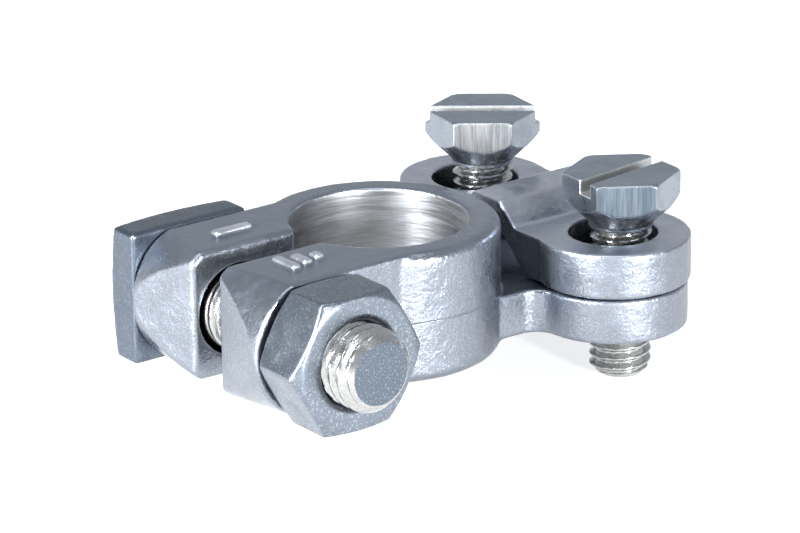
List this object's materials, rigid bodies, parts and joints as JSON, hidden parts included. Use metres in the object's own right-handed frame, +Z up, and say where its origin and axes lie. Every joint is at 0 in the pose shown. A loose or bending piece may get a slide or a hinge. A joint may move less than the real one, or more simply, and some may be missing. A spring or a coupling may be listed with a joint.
{
  "type": "battery post ground clamp",
  "caption": "Cast split-ring ground clamp for a battery post, closed by a square-head bolt and nut, with a two-screw bridge that grips the cable.",
  "frame": {"origin": "on the post bore's axis, in the plane of the ring's bottom face", "axes": "+Z up along the post bore, +X towards the cable end, +Y towards the clamp bolt's head"},
  "size_m": [0.0502, 0.0382, 0.0215],
  "materials": {
    "casting": "sand-textured die casting",
    "bridge_casting": "sand-textured die casting",
    "bolt_steel": "zinc plated",
    "nut_steel": "zinc plated",
    "screw_steel": "zinc plated"
  },
  "bodies": {
    "body": {"clamp_body": "casting"},
    "bridge": {"cable_bridge": "bridge_casting"},
    "bolt": {"clamp_bolt": "bolt_steel"},
    "nut": {"clamp_nut": "nut_steel"},
    "rear_screw": {"bridge_screw_rear": "screw_steel"},
    "front_screw": {"bridge_screw_front": "screw_steel"}
  },
  "joints": [
    {"name": "nut_turn", "type": "hinge", "parent": "body", "child": "nut", "pos_m": [-0.015, -0.0139, 0.0065], "axis": [0, -1, 0], "range_deg": [0, 1440]},
    {"name": "bolt_travel", "type": "slide", "parent": "body", "child": "bolt", "axis": [0, 1, 0], "range_m": [0, 0.005]},
    {"name": "bridge_lift", "type": "slide", "parent": "body", "child": "bridge", "axis": [0, 0, 1], "range_m": [0, 0.004]},
    {"name": "rear_screw_travel", "type": "slide", "parent": "bridge", "child": "rear_screw", "axis": [0, 0, 1], "range_m": [-0.002, 0.004]},
    {"name": "front_screw_travel", "type": "slide", "parent": "bridge", "child": "front_screw", "axis": [0, 0, 1], "range_m": [-0.001, 0.005]}
  ],
  "couplings": [
    {"joint": "bolt_travel", "follows": "nut_turn", "m_per_rad": 0.00019894}
  ]
}
